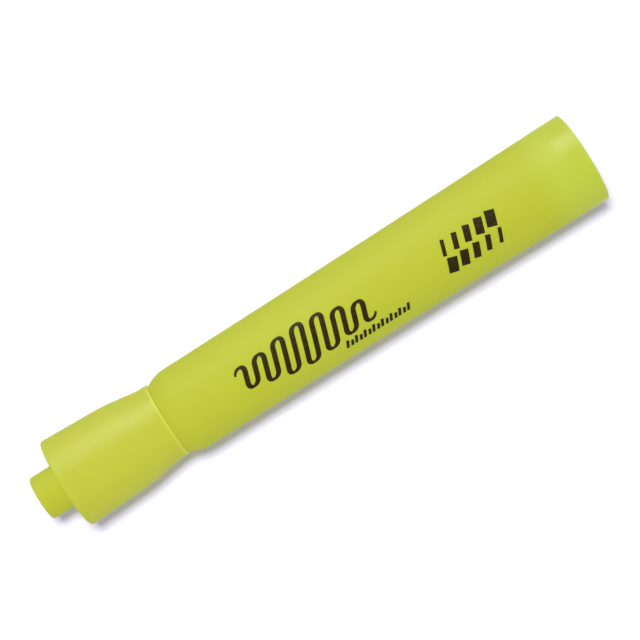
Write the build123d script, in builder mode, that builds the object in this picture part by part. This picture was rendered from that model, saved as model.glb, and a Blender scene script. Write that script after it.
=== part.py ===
from build123d import *
import os

# A tank-style highlighter lying on its side with its cap on.
# It flares towards both ends. The cap snaps over the neck, and its end nub posts into the rear plug.
# Frame: X runs along the pen, nub end at -X, rear end at +X. +Z is up, and Z = 0 is the surface it lies on.
# The origin is below the middle of the pen's length.
# Profiles are drawn in stations and radii: a station is a distance in mm from the nub's free end.

# ---- Driving dimensions, mm ----
# Cap
nub_length = 5.8
nub_diameter = 9.4
nub_bore = 7.0
nub_end_wall = 1.2
nub_edge_radius = 0.5
cap_length = 23.9            # from the shoulder to the open rim
cap_end_diameter = 19.5
cap_knee_from_rim = 9.8
cap_knee_drop = 0.6          # radius lost between the shoulder and the knee
cap_knee_blend = 30.0
cap_rim_land = 2.2
cap_land_blend = 8.0
cap_rim_wall = 0.9
cap_edge_radius = 0.45
cap_rim_edge = 0.2
cap_guide_length = 8.0       # straight bore behind the rim
cap_seat_wall = 1.2
cap_seat_depth = 3.2
cap_snap_from_rim = 5.4
plug_disc_thickness = 1.4
plug_skirt_wall = 0.9
seal_wall = 0.9
seal_to_flange = 1.3         # from the sleeve's end to the nib holder's flange
joint_bevel = 0.15

# Barrel
barrel_length = 97.5         # from the cap's rim to the rear end
barrel_front_diameter = 17.8
barrel_middle_diameter = 18.4
barrel_rear_diameter = 19.5
barrel_wall = 1.3
barrel_edge_radius = 0.2
shoulder_length = 4.5
shoulder_step = 0.9          # width of the stop face that meets the cap's rim
shoulder_wall = 2.2
neck_diameter = 13.2
neck_length = 9.5
neck_wall = 1.7
neck_edge_radius = 0.3
snap_height = 0.25
snap_width = 1.0
rib_count = 6
rib_thickness = 0.9
rib_stop_height = 1.1        # the stops' reach in over the ink store's front end
rib_end_gap = 12.0           # from the ribs' end to the rear plug
rear_seat_depth = 10.0
rear_recess = 0.8

# Rear plug
post_depth = 6.2
post_clearance = 0.075
rear_plug_length = 8.0
rear_plate_thickness = 1.4
rear_cup_wall = 1.2
rear_skirt_wall = 1.2
rear_bead_height = 0.12
pusher_diameter = 4.0

# Nib and its holder
nib_width = 5.2
nib_thickness = 3.4
nib_reach = 5.4              # how far the long corner stands out of the snout
nib_in_core = 4.4            # how far the tail enters the fibre core
nib_corner_radius = 1.2
nib_slant = 28.0             # slope of the writing edge, degrees
nib_land = 1.0               # flat along the writing edge
nib_wedge_length = 3.6
nib_tail_land = 1.4
nib_tail_length = 3.0
snout_diameter = 8.6
snout_length = 5.7
snout_nose = 1.2
snout_nose_drop = 0.7
flange_thickness = 1.2
flange_margin = 0.75         # neck face left showing around the flange
seat_length = 9.4
tail_guide_length = 3.2
tail_guide_wall = 0.8
vent_spacing = 2.2           # between the two air grooves beside each broad face of the nib
vent_width = 0.8
vent_depth = 0.6

# Ink store
core_diameter = 12.4
core_from_tank = 3.2         # from the tank's front end to the fibre core
core_length = 78.5
film_thickness = 0.12
film_overhang = 0.4
breather_diameter = 1.5
breather_bore = 1.0
breather_overhang = 0.8

# Clearances
press_gap = 0.02             # pressed parts, per side
seat_gap = 0.05              # faces that rest on each other
slide_gap = 0.05             # snap beads and seal, per side
cap_gap = 0.25               # between the neck and the cap's bore, beyond the bead
nib_gap = 0.03
rib_gap = 0.06
core_gap = 0.05

# ---- Stations along the pen ----
shoulder_at = nub_length
rim_at = shoulder_at + cap_length
front_at = rim_at + seat_gap
rear_at = rim_at + barrel_length
neck_at = front_at - neck_length
tank_at = front_at + shoulder_wall
plug_face_at = rear_at - rear_recess
plug_end_at = plug_face_at - rear_plug_length
core_at = tank_at + core_from_tank
rib_stop_at = core_at - film_overhang - seat_gap
core_end_at = core_at + core_length
flange_at = neck_at - seat_gap - flange_thickness
snout_at = flange_at - snout_length
nib_at = snout_at - nib_reach
nib_end_at = core_at + nib_in_core
seat_end_at = neck_at + seat_length
snap_at = rim_at - cap_snap_from_rim

# ---- Radii ----
axis_height = max(cap_end_diameter, barrel_rear_diameter) / 2
cap_end_radius = cap_end_diameter / 2
barrel_rear_radius = barrel_rear_diameter / 2
neck_radius = neck_diameter / 2
neck_snap_radius = neck_radius + snap_height - slide_gap
cap_bore_radius = neck_radius + snap_height + cap_gap
cap_snap_radius = neck_snap_radius + slide_gap
cap_rim_radius = cap_bore_radius + cap_rim_wall
cap_seat_radius = cap_end_radius - cap_seat_wall
shoulder_radius = neck_radius + shoulder_step
tank_front_radius = barrel_front_diameter / 2 - barrel_wall
tank_rear_radius = barrel_rear_radius - barrel_wall
core_radius = core_diameter / 2
film_inner_radius = core_radius + press_gap
film_outer_radius = film_inner_radius + film_thickness
rib_radius = film_outer_radius + rib_gap
post_radius = nub_diameter / 2 + post_clearance
snout_radius = snout_diameter / 2
seal_radius = snout_radius + slide_gap
breather_radius = breather_diameter / 2
breather_offset = core_radius - breather_radius - core_gap
flange_radius = neck_radius - flange_margin

# ---- Planes ----
nub_end = Vector(-rear_at / 2, 0, axis_height)
pen_axis = Axis(nub_end, (1, 0, 0))
profile_plane = Plane(origin=nub_end, x_dir=(1, 0, 0), z_dir=(0, -1, 0))


def section_plane(station):
    """Plane across the pen at a station: its x is +Y, its y is +Z, and it faces the rear."""
    return Plane(origin=nub_end + Vector(station, 0, 0), x_dir=(0, 1, 0), z_dir=(1, 0, 0))


def snap_ridge(station, base, crest):
    """Outline of a ring-shaped snap ridge between two radii, centred on a station."""
    half = snap_width / 2
    flat = half / 2
    return [(station - half, base), (station - flat, crest), (station + flat, crest), (station + half, base)]


os.makedirs("parts", exist_ok=True)

# ---- Cap shell: a tapered tube, moulded open at both ends ----
cap_knee = (rim_at - cap_knee_from_rim, cap_end_radius - cap_knee_drop)
cap_land = (rim_at - cap_rim_land, cap_rim_radius)
with BuildPart() as cap_shell:
    with BuildSketch(profile_plane):
        with BuildLine():
            outside = FilletPolyline(
                (shoulder_at, cap_end_radius),
                cap_knee,
                cap_land,
                (rim_at, cap_rim_radius),
                radius=[cap_knee_blend, cap_land_blend],
            )
            Polyline(
                outside @ 1,
                (rim_at, cap_bore_radius),
                (rim_at - cap_guide_length, cap_bore_radius),
                (shoulder_at + cap_seat_depth, cap_seat_radius - joint_bevel),
                (shoulder_at + cap_seat_depth, cap_seat_radius),
                (shoulder_at, cap_seat_radius),
                outside @ 0,
            )
        make_face()
    revolve(axis=pen_axis)
    with BuildSketch(profile_plane):
        with BuildLine():
            Polyline(*snap_ridge(snap_at, cap_bore_radius + joint_bevel, cap_snap_radius), close=True)
        make_face()
    revolve(axis=pen_axis)
    rings = cap_shell.edges().filter_by(GeomType.CIRCLE).group_by(Axis.X)
    fillet(rings[0].sort_by(SortBy.RADIUS)[-1], cap_edge_radius)
    rim_rings = cap_shell.edges().filter_by(GeomType.CIRCLE).group_by(Axis.X)[-1]
    fillet(rim_rings.sort_by(SortBy.RADIUS)[-1], cap_rim_edge)
    mouth = cap_shell.edges().filter_by(GeomType.CIRCLE).group_by(Axis.X)[-1].sort_by(SortBy.RADIUS)[0]
    chamfer(mouth, cap_rim_edge)
    seat_edge = cap_shell.edges().filter_by(GeomType.CIRCLE).group_by(Axis.X)[0].sort_by(SortBy.RADIUS)[0]
    chamfer(seat_edge, joint_bevel)
cap_shell.part.label = "cap_shell"
export_step(cap_shell.part, "parts/cap_shell.step")

# ---- Cap plug: end disc with the hollow posting nub, and the sleeve that seals on the snout ----
plug_radius = cap_seat_radius - press_gap
disc_at = shoulder_at + plug_disc_thickness
seal_end_at = flange_at - seal_to_flange
with BuildPart() as cap_plug:
    with BuildSketch(profile_plane):
        with BuildLine():
            Polyline(
                (0, 0),
                (0, nub_diameter / 2),
                (shoulder_at, nub_diameter / 2),
                (shoulder_at, plug_radius),
                (shoulder_at + cap_seat_depth, plug_radius),
                (shoulder_at + cap_seat_depth, plug_radius - plug_skirt_wall),
                (disc_at, plug_radius - plug_skirt_wall),
                (disc_at, seal_radius + seal_wall),
                (seal_end_at, seal_radius + seal_wall / 2),
                (seal_end_at, seal_radius),
                (disc_at, seal_radius),
                (shoulder_at, nub_bore / 2),
                (nub_end_wall, nub_bore / 2),
                (nub_end_wall, 0),
                close=True,
            )
        make_face()
    revolve(axis=pen_axis)
    nub_edge = cap_plug.edges().filter_by(GeomType.CIRCLE).group_by(Axis.X)[0]
    fillet(nub_edge, nub_edge_radius)
    shoulder_rings = cap_plug.edges().filter_by(GeomType.CIRCLE).filter_by_position(
        Axis.X, nub_end.X + shoulder_at - joint_bevel, nub_end.X + shoulder_at + joint_bevel
    )
    chamfer(shoulder_rings.sort_by(SortBy.RADIUS)[-1], joint_bevel)
cap_plug.part.label = "cap_plug"
export_step(cap_plug.part, "parts/cap_plug.step")

# ---- Barrel: flared tank, rounded shoulder, neck with its snap ring, and ribs that centre the ink store ----
barrel_front_radius = barrel_front_diameter / 2
shoulder_end = (front_at + shoulder_length, barrel_front_radius)
barrel_middle = ((front_at + rear_at) / 2, barrel_middle_diameter / 2)
rear_seat_at = rear_at - rear_seat_depth
neck_bore_radius = neck_radius - neck_wall
rib_end_at = plug_end_at - rib_end_gap
rib_root = barrel_wall / 2
rib_pitch = 360 / rib_count   # the breather runs along the top, between two ribs
with BuildPart() as barrel:
    with BuildSketch(profile_plane) as barrel_profile:
        with BuildLine():
            flare = ThreePointArc(shoulder_end, barrel_middle, (rear_at, barrel_rear_radius))
            shoulder = TangentArc(flare @ 0, (front_at, shoulder_radius), tangent=(-1, 0))
            Polyline(
                shoulder @ 1,
                (front_at, neck_radius),
                (neck_at, neck_radius),
                (neck_at, neck_bore_radius),
                (front_at + press_gap, neck_bore_radius),
                (tank_at, tank_front_radius),
                (rear_seat_at, tank_rear_radius),
                (rear_at, tank_rear_radius),
                flare @ 1,
            )
        make_face()
        profile_ends = barrel_profile.vertices().group_by(Axis.X)
        fillet(profile_ends[-1].sort_by(Axis.Y)[-1], barrel_edge_radius)
        fillet(profile_ends[0].sort_by(Axis.Y)[-1], neck_edge_radius)
    revolve(axis=pen_axis)
    with BuildSketch(profile_plane):
        with BuildLine():
            Polyline(*snap_ridge(snap_at - snap_width, neck_radius - joint_bevel, neck_snap_radius), close=True)
        make_face()
    revolve(axis=pen_axis)
    with BuildSketch(profile_plane):
        with BuildLine():
            plug_middle = (plug_face_at + plug_end_at) / 2
            groove_floor = tank_rear_radius + rear_bead_height
            Polyline(*snap_ridge(plug_middle, tank_rear_radius - joint_bevel, groove_floor), close=True)
        make_face()
    revolve(axis=pen_axis, mode=Mode.SUBTRACT)
    for rib in range(rib_count):
        with BuildSketch(profile_plane.rotated((rib_pitch * (rib + 0.5), 0, 0))):
            with BuildLine():
                Polyline(
                    (tank_at, tank_front_radius + rib_root),
                    (tank_at, rib_radius - rib_stop_height),
                    (rib_stop_at, rib_radius - rib_stop_height),
                    (rib_stop_at, rib_radius),
                    (rib_end_at, rib_radius),
                    (rib_end_at + rib_stop_height, tank_rear_radius),
                    close=True,
                )
            make_face()
        extrude(amount=rib_thickness / 2, both=True)
barrel.part.label = "barrel"
export_step(barrel.part, "parts/barrel.step")

# ---- Rear plug: closes the tank and holds the posted cap's nub ----
rear_plug_radius = tank_rear_radius - press_gap
rear_skirt_radius = rear_plug_radius - rear_skirt_wall
plate_inner_at = plug_face_at - rear_plate_thickness
post_end_at = plug_face_at - post_depth
cup_end_at = post_end_at - rear_cup_wall
cup_radius = post_radius + rear_cup_wall
pusher_at = core_end_at + core_gap
with BuildPart() as rear_plug:
    with BuildSketch(profile_plane):
        with BuildLine():
            Polyline(
                (plug_face_at, post_radius),
                (plug_face_at, rear_plug_radius),
                (plug_end_at, rear_plug_radius),
                (plug_end_at, rear_skirt_radius),
                (plate_inner_at, rear_skirt_radius),
                (plate_inner_at, cup_radius),
                (cup_end_at, cup_radius),
                (cup_end_at, pusher_diameter / 2),
                (pusher_at, pusher_diameter / 2),
                (pusher_at, 0),
                (post_end_at, 0),
                (post_end_at, post_radius),
                close=True,
            )
        make_face()
    revolve(axis=pen_axis)
    with BuildSketch(profile_plane):
        with BuildLine():
            bead_base = rear_plug_radius - joint_bevel
            bead_crest = rear_plug_radius + rear_bead_height
            Polyline(*snap_ridge(plug_middle, bead_base, bead_crest), close=True)
        make_face()
    revolve(axis=pen_axis)
    face_rings = rear_plug.edges().filter_by(GeomType.CIRCLE).group_by(Axis.X)[-1].sort_by(SortBy.RADIUS)
    chamfer([face_rings[0], face_rings[-1]], joint_bevel)
rear_plug.part.label = "rear_plug"
export_step(rear_plug.part, "parts/rear_plug.step")


def nib_section(station, gap):
    """Rounded-rectangle section of the nib's rod, grown by a gap, on a plane across the pen."""
    with BuildSketch(section_plane(station)) as section:
        RectangleRounded(nib_width + 2 * gap, nib_thickness + 2 * gap, nib_corner_radius + gap)
    return section.sketch


# ---- Nib holder: snout, flange and the seat pressed into the neck, with air grooves beside the nib ----
seat_radius = neck_bore_radius - press_gap
guide_radius = nib_width / 2 + nib_gap + tail_guide_wall
guide_end_at = seat_end_at + tail_guide_length
with BuildPart() as nib_holder:
    with BuildSketch(profile_plane):
        with BuildLine():
            Polyline(
                (snout_at, 0),
                (snout_at, snout_radius - snout_nose_drop),
                (snout_at + snout_nose, snout_radius),
                (flange_at, snout_radius),
                (flange_at, flange_radius),
                (flange_at + flange_thickness, flange_radius),
                (flange_at + flange_thickness, seat_radius),
                (seat_end_at, seat_radius),
                (seat_end_at, guide_radius),
                (guide_end_at, guide_radius),
                (guide_end_at, 0),
                close=True,
            )
        make_face()
    revolve(axis=pen_axis)
    extrude(nib_section(snout_at, nib_gap), amount=guide_end_at - snout_at, mode=Mode.SUBTRACT)
    with BuildSketch(section_plane(snout_at)):
        with GridLocations(vent_spacing, nib_thickness, 2, 2):
            Rectangle(vent_width, 2 * vent_depth)
    extrude(amount=guide_end_at - snout_at, mode=Mode.SUBTRACT)
    flange_rings = nib_holder.edges().filter_by(GeomType.CIRCLE).filter_by_position(
        Axis.X, nub_end.X + flange_at - press_gap, nub_end.X + flange_at + press_gap
    )
    fillet(flange_rings.sort_by(SortBy.RADIUS)[-1], neck_edge_radius)
nib_holder.part.label = "nib_holder"
export_step(nib_holder.part, "parts/nib_holder.step")

# ---- Nib: a bonded-fibre slab with a slanted chisel edge and a pointed tail ----
half_width = nib_width / 2
half_thickness = nib_thickness / 2
slant_run = Vector(nib_width, 0, 0).rotate(Axis.Z, nib_slant).Y
with BuildPart() as nib:
    extrude(nib_section(nib_at, 0), amount=nib_end_at - nib_at)
    with BuildSketch(profile_plane):
        with BuildLine():
            Polyline(
                (nib_at, -nib_land / 2),
                (nib_at, nib_land / 2),
                (nib_at + nib_wedge_length, half_thickness),
                (nib_end_at - nib_tail_length, half_thickness),
                (nib_end_at, nib_tail_land / 2),
                (nib_end_at, -nib_tail_land / 2),
                (nib_end_at - nib_tail_length, -half_thickness),
                (nib_at + nib_wedge_length, -half_thickness),
                close=True,
            )
        make_face()
    extrude(amount=nib_width, both=True, mode=Mode.INTERSECT)
    with BuildSketch(Plane(origin=nub_end, x_dir=(1, 0, 0), z_dir=(0, 0, 1))):
        with BuildLine():
            Polyline(
                (nib_at, half_width),
                (nib_at + slant_run, -half_width),
                (nib_at, -half_width),
                close=True,
            )
        make_face()
    extrude(amount=nib_thickness, both=True, mode=Mode.SUBTRACT)
nib.part.label = "nib"
export_step(nib.part, "parts/nib.step")

# ---- Fibre core of the ink store, with a pocket for the nib's tail and a channel for the breather ----
with BuildPart() as ink_core:
    with BuildSketch(section_plane(core_at)):
        Circle(core_radius)
        with Locations((0, breather_offset)):
            Circle(breather_radius + press_gap, mode=Mode.SUBTRACT)
        with Locations((0, core_radius)):
            Rectangle(2 * (breather_radius + press_gap), 2 * (core_radius - breather_offset), mode=Mode.SUBTRACT)
    extrude(amount=core_length)
    extrude(nib_section(core_at, core_gap), amount=nib_in_core + core_gap, mode=Mode.SUBTRACT)
ink_core.part.label = "ink_core"
export_step(ink_core.part, "parts/ink_core.step")

# ---- Film wrapped around the fibre core ----
with BuildPart() as core_film:
    with BuildSketch(section_plane(core_at - film_overhang)):
        Circle(film_outer_radius)
        Circle(film_inner_radius, mode=Mode.SUBTRACT)
    extrude(amount=core_length + 2 * film_overhang)
core_film.part.label = "core_film"
export_step(core_film.part, "parts/core_film.step")

# ---- Breather tube along the core: lets air from the neck reach the space behind the ink ----
with BuildPart() as breather_tube:
    with BuildSketch(section_plane(core_at - breather_overhang)):
        with Locations((0, breather_offset)):
            Circle(breather_radius)
            Circle(breather_bore / 2, mode=Mode.SUBTRACT)
    extrude(amount=core_length + 2 * breather_overhang)
breather_tube.part.label = "breather_tube"
export_step(breather_tube.part, "parts/breather_tube.step")
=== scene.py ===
"""Looks for a capped tank highlighter: moulded plastic shells, felt nib, fibre ink store and printed marks.

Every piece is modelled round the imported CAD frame. X runs along the pen, from the cap's nub to the rear end.
"""

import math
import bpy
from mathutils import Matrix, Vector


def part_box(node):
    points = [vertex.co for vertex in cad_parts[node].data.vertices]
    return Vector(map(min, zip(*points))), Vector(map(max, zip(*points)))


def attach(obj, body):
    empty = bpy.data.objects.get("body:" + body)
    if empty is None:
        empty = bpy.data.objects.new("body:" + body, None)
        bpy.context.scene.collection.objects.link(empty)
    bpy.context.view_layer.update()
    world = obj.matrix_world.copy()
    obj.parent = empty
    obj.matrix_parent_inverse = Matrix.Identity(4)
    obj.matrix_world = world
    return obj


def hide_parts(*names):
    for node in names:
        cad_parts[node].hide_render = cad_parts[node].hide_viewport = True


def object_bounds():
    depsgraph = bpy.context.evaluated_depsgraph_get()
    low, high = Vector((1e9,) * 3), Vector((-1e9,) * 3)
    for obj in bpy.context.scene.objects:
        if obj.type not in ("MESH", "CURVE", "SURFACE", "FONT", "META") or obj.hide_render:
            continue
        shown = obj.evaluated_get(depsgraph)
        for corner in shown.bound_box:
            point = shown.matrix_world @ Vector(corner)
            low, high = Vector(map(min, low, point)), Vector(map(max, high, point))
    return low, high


bl_info = {
    "name": "Highlighter",
    "version": (1, 0, 0),
    "blender": (4, 5, 0),
    "location": "3D View > Sidebar > Highlighter",
    "description": "Models a capped tank highlighter round its CAD frame",
    "category": "Object",
}

import bmesh
import bpy
from mathutils import Vector

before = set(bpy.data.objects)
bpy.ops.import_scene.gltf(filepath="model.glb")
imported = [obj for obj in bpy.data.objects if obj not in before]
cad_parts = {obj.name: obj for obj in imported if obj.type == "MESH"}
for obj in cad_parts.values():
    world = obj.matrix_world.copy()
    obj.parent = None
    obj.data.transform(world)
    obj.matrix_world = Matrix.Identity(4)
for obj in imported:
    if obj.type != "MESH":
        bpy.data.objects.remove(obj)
cad_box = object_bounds()

MM = 0.001
SIDEBAR = "Highlighter"

# ---- Places read from the frame, in metres ----
barrel_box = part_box("barrel")
shell_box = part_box("cap_shell")
cap_plug_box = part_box("cap_plug")
rear_plug_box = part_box("rear_plug")
holder_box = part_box("nib_holder")
nib_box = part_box("nib")
core_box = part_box("ink_core")
film_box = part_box("core_film")
air_tube_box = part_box("breather_tube")

AXIS_Z = (cap_plug_box[0].z + cap_plug_box[1].z) / 2
NUB_END = cap_plug_box[0].x
SHOULDER = shell_box[0].x
RIM = shell_box[1].x
NECK_END = barrel_box[0].x
REAR = barrel_box[1].x
PLUG_FACE = rear_plug_box[1].x
SNOUT_END = holder_box[0].x
CORE_FRONT = core_box[0].x
CORE_REAR = core_box[1].x


# ---- Sizes and colours that a user would change ----
def length(name, millimetres, description):
    """A length property, given in millimetres and kept in metres."""
    return bpy.props.FloatProperty(
        name=name, description=description, default=millimetres * MM, unit="LENGTH", precision=5
    )


def spot(name, millimetres, description):
    """A place property, given in millimetres and kept in metres."""
    metres = [value * MM for value in millimetres]
    return bpy.props.FloatVectorProperty(
        name=name, description=description, default=metres, unit="LENGTH", precision=5
    )


def amount(name, value, description, **kind):
    """A property that is a plain number, an angle or a lens."""
    return bpy.props.FloatProperty(name=name, description=description, default=value, **kind)


def number_of(name, value, description):
    """A property that counts what is repeated."""
    return bpy.props.IntProperty(name=name, description=description, default=value, min=2)


def paint(name, red_green_blue, description):
    """A colour property, kept as an sRGB hex code."""
    return bpy.props.StringProperty(name=name, description=description, default=red_green_blue, maxlen=7)


class BarrelSizes(bpy.types.PropertyGroup):
    front_radius: length("Front radius", 8.9, "Barrel's radius where its shoulder ends")
    middle_radius: length("Middle radius", 9.2, "Barrel's radius halfway along its flare")
    rear_radius: length("Rear radius", 9.73, "Barrel's radius at its rear end")
    stop_radius: length("Stop radius", 7.5, "Radius of the front face that the cap's rim rests on")
    shoulder_length: length("Shoulder length", 4.5, "Length of the rounded shoulder")
    wall: length("Wall", 1.3, "Thickness of the tank's wall")
    neck_radius: length("Neck radius", 6.6, "Radius of the neck that the cap goes over")
    neck_bore: length("Neck bore", 4.9, "Radius of the neck's bore")
    shoulder_wall: length("Shoulder wall", 2.2, "Depth of the wall behind the stop face")
    snap_height: length("Snap height", 0.2, "Height of the snap ring on the neck")
    snap_from_rim: length("Snap from rim", 6.4, "Distance from the cap's rim to the neck's snap ring")
    seat_depth: length("Rear seat depth", 10.0, "Depth of the straight seat for the rear plug")
    rear_edge: length("Rear edge", 0.2, "Rounding of the outer rear edge")
    rib_thickness: length("Rib thickness", 0.9, "Thickness of the ribs that centre the ink store")
    rib_radius: length("Rib radius", 6.4, "Distance from the pen's axis to the ribs")
    rib_stop: length("Rib stop", 1.1, "Reach of the stops that hold the ink store back")
    rib_end_gap: length("Rib end gap", 12.0, "Distance from the ribs' end to the rear plug")
    ribs: number_of("Ribs", 6, "Number of ribs in the tank")
    stop_edge: length("Stop edge", 0.06, "Rounding of the stop face's outer edge")
    tank_edge: length("Tank edge", 0.6, "Rounding of the corner inside the tank's front")
    groove_depth: length("Groove depth", 0.12, "Depth of the groove that takes the rear plug's ring")
    gloss_start: length("Gloss start", 7.8, "Distance from the rear end to where the polished band begins")
    gloss_full: length("Gloss full", 2.6, "Distance from the rear end to where the polish is full")
    polish: amount("Polish", 0.3, "Roughness that the polished band loses")
    # Where the painted glow near the rear end begins and where it is full
    glow_start: length("Glow start", 13.0, "Distance from the rear end to where it begins to turn paler")
    glow_full: length("Glow full", 6.5, "Distance from the rear end to where it is palest")


class RearPlugSizes(bpy.types.PropertyGroup):
    radius: length("Radius", 8.43, "Radius of the plug in the barrel")
    skirt: length("Skirt", 8.0, "Depth of the plug's skirt")
    skirt_wall: length("Skirt wall", 1.2, "Thickness of the skirt")
    socket_radius: length("Socket radius", 4.775, "Radius of the socket that holds the posted cap's nub")
    socket_depth: length("Socket depth", 6.2, "Depth of the socket")
    socket_wall: length("Socket wall", 1.2, "Thickness of the socket's wall and floor")
    plate: length("Plate", 1.4, "Thickness of the end plate")
    pusher_radius: length("Pusher radius", 2.0, "Radius of the post that holds the ink store forward")
    ring_height: length("Ring height", 0.1, "Height of the ring that holds the plug in its seat")
    gate_radius: length("Gate radius", 0.8, "Radius of the dimple that the mould's gate leaves")
    gate_depth: length("Gate depth", 0.15, "Depth of that dimple")


class CapSizes(bpy.types.PropertyGroup):
    end_radius: length("End radius", 9.73, "Cap's radius at its shoulder")
    knee_radius: length("Knee radius", 9.15, "Cap's radius where its taper steepens")
    knee_from_rim: length("Knee from rim", 9.8, "Distance from the knee to the rim")
    knee_blend: length("Knee blend", 30.0, "Radius of the blend at the knee")
    rim_radius: length("Rim radius", 8.0, "Cap's radius at its open rim")
    rim_land: length("Rim land", 2.2, "Length of the straight band at the rim")
    rim_blend: length("Rim blend", 8.0, "Radius of the blend into the rim's band")
    bore_radius: length("Bore radius", 7.1, "Radius of the cap's mouth")
    bore_length: length("Bore length", 8.0, "Length of the straight bore behind the rim")
    seat_radius: length("Seat radius", 8.55, "Radius of the seat that the end plug is pressed into")
    seat_depth: length("Seat depth", 3.2, "Depth of that seat")
    snap_from_rim: length("Snap from rim", 5.4, "Distance from the rim to the snap ring inside the cap")
    nub_radius: length("Nub radius", 4.7, "Radius of the nub on the cap's end")
    nub_bore: length("Nub bore", 3.5, "Radius of the hollow inside the nub")
    nub_wall: length("Nub end wall", 1.2, "Thickness of the nub's end")
    disc: length("Disc", 1.4, "Thickness of the end disc")
    skirt_wall: length("Skirt wall", 0.9, "Thickness of the plug's skirt")
    seal_radius: length("Seal radius", 4.35, "Inner radius of the sleeve that seals on the snout")
    seal_wall: length("Seal wall", 0.9, "Thickness of the sleeve at its root")
    shoulder_edge: length("Shoulder edge", 0.45, "Rounding of the cap's shoulder")
    rim_edge: length("Rim edge", 0.1, "Rounding of the rim's outer edge")
    mouth_edge: length("Mouth edge", 0.25, "Rounding of the cap's mouth")
    snap_height: length("Snap height", 0.25, "Height of the snap ring inside the cap")
    bore_blend: length("Bore blend", 2.0, "Radius of the blend where the straight bore ends")
    seat_step: length("Seat step", 0.15, "Width of the step that stops the end plug")
    nub_edge: length("Nub edge", 0.5, "Rounding of the nub's end")
    nub_root: length("Nub root", 0.25, "Rounding where the nub meets the end face")
    hollow_edge: length("Hollow edge", 0.4, "Rounding of the corner inside the nub")
    gate_radius: length("Gate radius", 0.9, "Radius of the dimple that the mould's gate leaves")
    gate_depth: length("Gate depth", 0.2, "Depth of that dimple")
    glow_start: length("Glow start", 0.8, "Distance from the rim to where it begins to light up")
    glow_full: length("Glow full", 0.1, "Distance from the rim to where it is lit in full")


class NibSizes(bpy.types.PropertyGroup):
    width: length("Nib width", 5.2, "Width of the felt nib")
    thickness: length("Nib thickness", 3.4, "Thickness of the felt nib")
    corner: length("Nib corner", 1.2, "Rounding of the nib's long edges")
    wedge: length("Wedge", 3.6, "Length of the wedge behind the writing edge")
    land: length("Land", 1.0, "Thickness left at the writing edge")
    tail: length("Tail", 3.0, "Length of the nib's pointed tail")
    tail_land: length("Tail land", 1.4, "Thickness left at the tail's end")
    slant: amount("Slant", math.radians(28), "Slope of the writing edge", subtype="ANGLE")
    ground_edge: length("Ground edge", 0.18, "Rounding that grinding leaves on the felt's edges")
    tuft: length("Tuft", 0.5, "Width of a tuft in the felt's grain")
    nap: length("Nap", 0.06, "Depth of the felt's grain")
    mesh_step: length("Mesh step", 0.14, "Spacing of the felt's mesh, fine enough to carry its grain")
    wear: length("Wear", 3.0, "Length behind the writing edge that looks worn")
    snout_radius: length("Snout radius", 4.3, "Radius of the holder's snout")
    snout_nose: length("Snout nose", 1.2, "Length of the snout's tapered nose")
    nose_drop: length("Nose drop", 0.7, "Radius lost along the nose")
    nose_blend: length("Nose blend", 2.0, "Radius of the blend where the nose ends")
    stain: length("Snout stain", 4.0, "Length of the snout that ink has stained")
    snout: length("Snout length", 5.7, "Length of the snout in front of the flange")
    flange_radius: length("Flange radius", 5.85, "Radius of the flange that stops on the neck")
    flange: length("Flange", 1.2, "Thickness of the flange")
    seat_radius: length("Seat radius", 4.88, "Radius of the seat pressed into the neck")
    guide_radius: length("Guide radius", 3.43, "Radius of the guide behind the seat")
    guide: length("Guide length", 3.2, "Length of that guide")
    slot_gap: length("Slot gap", 0.03, "Clearance round the nib in its slot")
    vent_width: length("Vent width", 0.8, "Width of each air groove beside the nib")
    vent_depth: length("Vent depth", 0.6, "Depth of each air groove")
    vent_spacing: length("Vent spacing", 2.2, "Distance between two air grooves")


class StoreSizes(bpy.types.PropertyGroup):
    core_radius: length("Core radius", 6.2, "Radius of the fibre ink store")
    core_edge: length("Core edge", 0.25, "Rounding of the store's cut ends")
    pocket: length("Pocket", 4.45, "Depth of the pocket for the nib's tail")
    pocket_gap: length("Pocket gap", 0.05, "Clearance round the tail in its pocket")
    film_radius: length("Film radius", 6.22, "Inner radius of the wrapped film")
    film: length("Film", 0.06, "Thickness of the film")
    lap: length("Lap", 2.5, "Width of the film's overlapped seam")
    tube_radius: length("Tube radius", 0.75, "Outer radius of the air tube")
    tube_bore: length("Tube bore", 0.5, "Radius of the air tube's bore")
    tube_offset: length("Tube offset", 5.4, "Distance from the pen's axis to the air tube")
    tube_gap: length("Tube gap", 0.02, "Clearance round the air tube in its channel")
    stain: length("Tube stain", 12.0, "Length of the air tube that ink has stained")


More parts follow.
